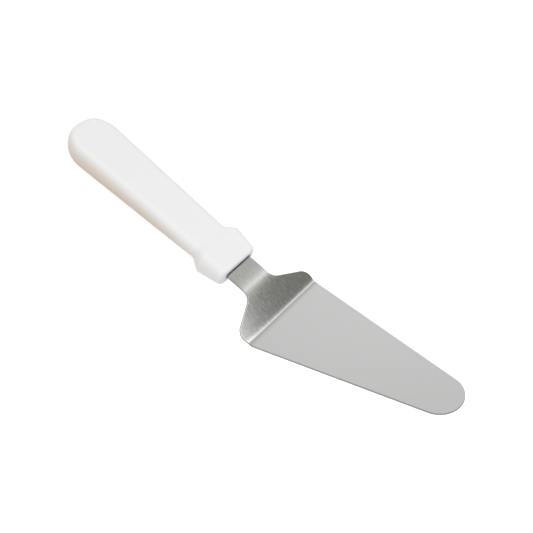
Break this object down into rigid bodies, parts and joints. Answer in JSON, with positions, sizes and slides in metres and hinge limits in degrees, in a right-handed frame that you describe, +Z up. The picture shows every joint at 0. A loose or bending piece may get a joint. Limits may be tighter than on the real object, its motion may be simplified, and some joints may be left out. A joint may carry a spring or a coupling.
{
  "type": "cake server",
  "caption": "Cake server: a triangular stainless blade on a cranked riser and neck, with a moulded white handle that flares to a collar.",
  "frame": {"origin": "the middle of the box that holds the server, on the table it rests on", "axes": "+X towards the tip of the blade, +Z up from the table; the server lies at rest on its heel and on the collar's underside, with the blade's tip raised"},
  "size_m": [0.2728, 0.0612, 0.0383],
  "materials": {
    "blade_steel": "fine satin grain along the length, bright along the creases",
    "handle_plastic": "smooth white moulded polypropylene with a soft sheen"
  },
  "bodies": {
    "root": {"blade": "blade_steel", "handle": "handle_plastic"}
  },
  "joints": []
}
